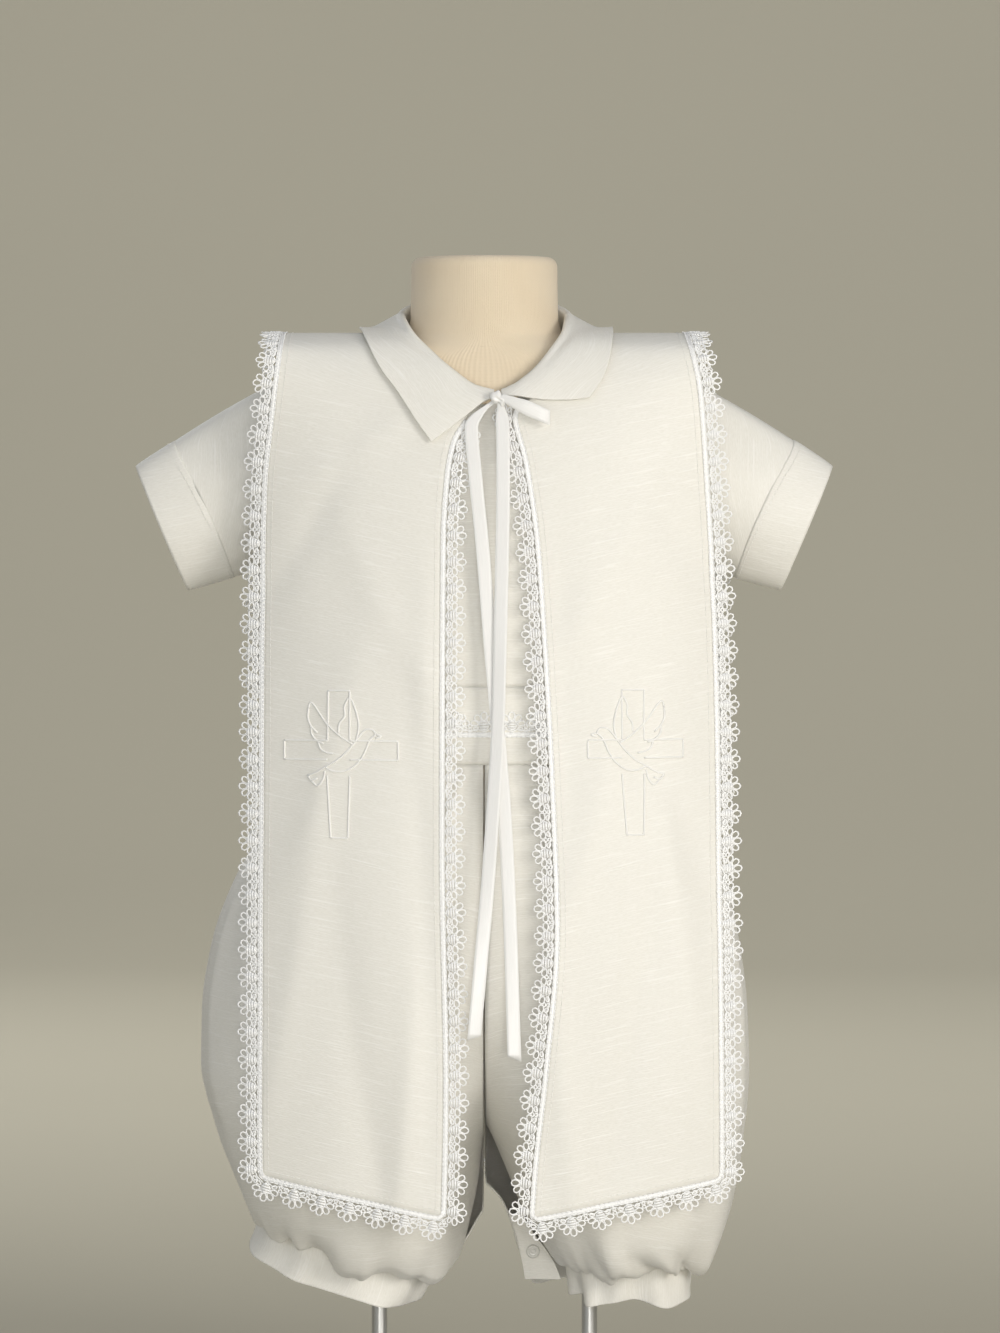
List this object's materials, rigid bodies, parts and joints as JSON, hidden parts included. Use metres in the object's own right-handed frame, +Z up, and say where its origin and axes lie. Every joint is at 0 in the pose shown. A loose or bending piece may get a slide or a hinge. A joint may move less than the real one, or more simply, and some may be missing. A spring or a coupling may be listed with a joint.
{
  "type": "baby romper on a torso form",
  "caption": "Short-sleeved christening romper with bloomer legs and a lace-edged tabard tied with ribbon, worn by a limbless torso form on a stand.",
  "frame": {"origin": "middle of the stand's base plate at its underside, on the floor", "axes": "+Z up through the neck, -Y out of the garment's front, +X to the wearer's left"},
  "size_m": [0.357, 0.208, 0.596],
  "materials": {
    "shantung": "slubbed satin weave",
    "lace": "embroidered thread",
    "ribbon": "satin",
    "form_cover": "matte jersey",
    "stand_metal": "satin",
    "snap": "semi-matte"
  },
  "bodies": {
    "root": {"collar": "shantung", "form_torso": "form_cover", "lace_front_left": "lace", "lace_front_right": "lace", "lace_hem_back": "lace", "lace_hem_left": "lace", "lace_hem_right": "lace", "lace_outer_left": "lace", "lace_outer_right": "lace", "leg_back_left": "shantung", "leg_back_right": "shantung", "leg_cuff_left": "shantung", "leg_cuff_right": "shantung", "leg_front_left": "shantung", "leg_front_right": "shantung", "leg_snap": "snap", "ribbon_knot": "ribbon", "ribbon_loop": "ribbon", "ribbon_tail_left": "ribbon", "ribbon_tail_right": "ribbon", "romper_back": "shantung", "romper_front": "shantung", "sleeve_band_left": "shantung", "sleeve_band_right": "shantung", "sleeve_left": "shantung", "sleeve_right": "shantung", "snap_flap_left": "shantung", "stand_base": "stand_metal", "stand_rod_left": "stand_metal", "stand_rod_right": "stand_metal", "tabard_back": "shantung", "tabard_front_left": "shantung", "tabard_front_right": "shantung", "waist_lace": "lace", "waistband_back": "shantung", "waistband_front": "shantung"}
  },
  "joints": []
}
